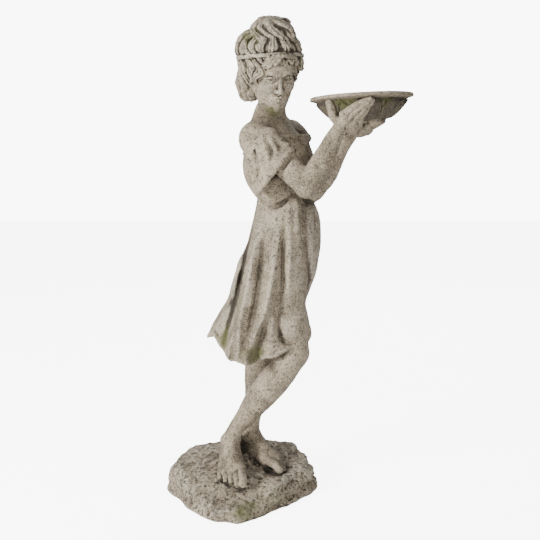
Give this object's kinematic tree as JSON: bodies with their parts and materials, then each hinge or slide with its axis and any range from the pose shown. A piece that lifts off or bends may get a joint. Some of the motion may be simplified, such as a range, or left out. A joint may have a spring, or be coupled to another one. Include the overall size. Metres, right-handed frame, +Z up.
{
  "type": "bird bath statue",
  "caption": "Cast stone garden figure of a girl in a loose tunic, standing cross-legged on a rock and holding out a shallow flared bowl as a bird bath.",
  "frame": {"origin": "on the ground, at the middle of the rock's flat underside", "axes": "+Z up through the figure, +X the way the bowl is held out, -Y the show side that she looks to"},
  "size_m": [0.5073, 0.3171, 0.9976],
  "materials": {
    "figure_stone": "matt, pitted and weathered",
    "bowl_stone": "matt, pitted and weathered"
  },
  "bodies": {
    "root": {"figure_on_rock": "figure_stone", "bowl": "bowl_stone"}
  },
  "joints": []
}
